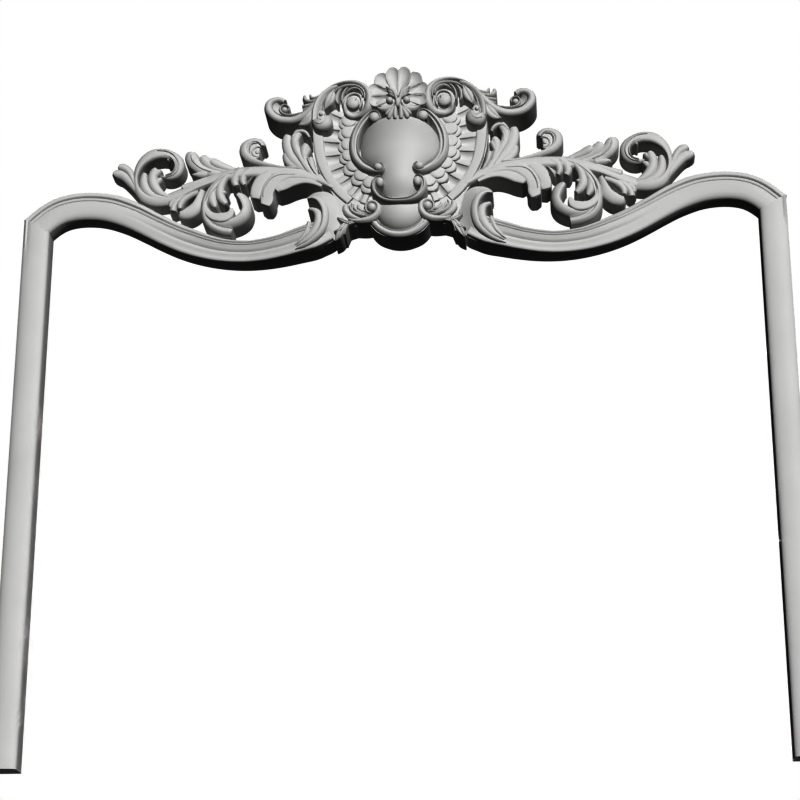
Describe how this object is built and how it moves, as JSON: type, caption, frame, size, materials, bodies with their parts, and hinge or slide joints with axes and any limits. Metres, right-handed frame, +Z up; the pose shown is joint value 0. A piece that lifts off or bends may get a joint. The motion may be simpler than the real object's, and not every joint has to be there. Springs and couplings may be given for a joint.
{
  "type": "carved crested surround onlay",
  "caption": "Carved wooden surround: two plain stiles under a serpentine head rail with a scrolled and shell-topped cartouche.",
  "frame": {"origin": "on the flat back of the cartouche, on the centre line, 50 mm above the underside of the pendant", "axes": "+X to the right seen from the front, +Y into the wall it is fixed on, +Z up"},
  "size_m": [1.2942, 0.098, 1.1782],
  "materials": {
    "primed_wood": "neutral grey primer on carved wood, satin"
  },
  "bodies": {
    "root": {"crest_rail": "primed_wood", "left_stile": "primed_wood", "right_stile": "primed_wood"}
  },
  "joints": []
}
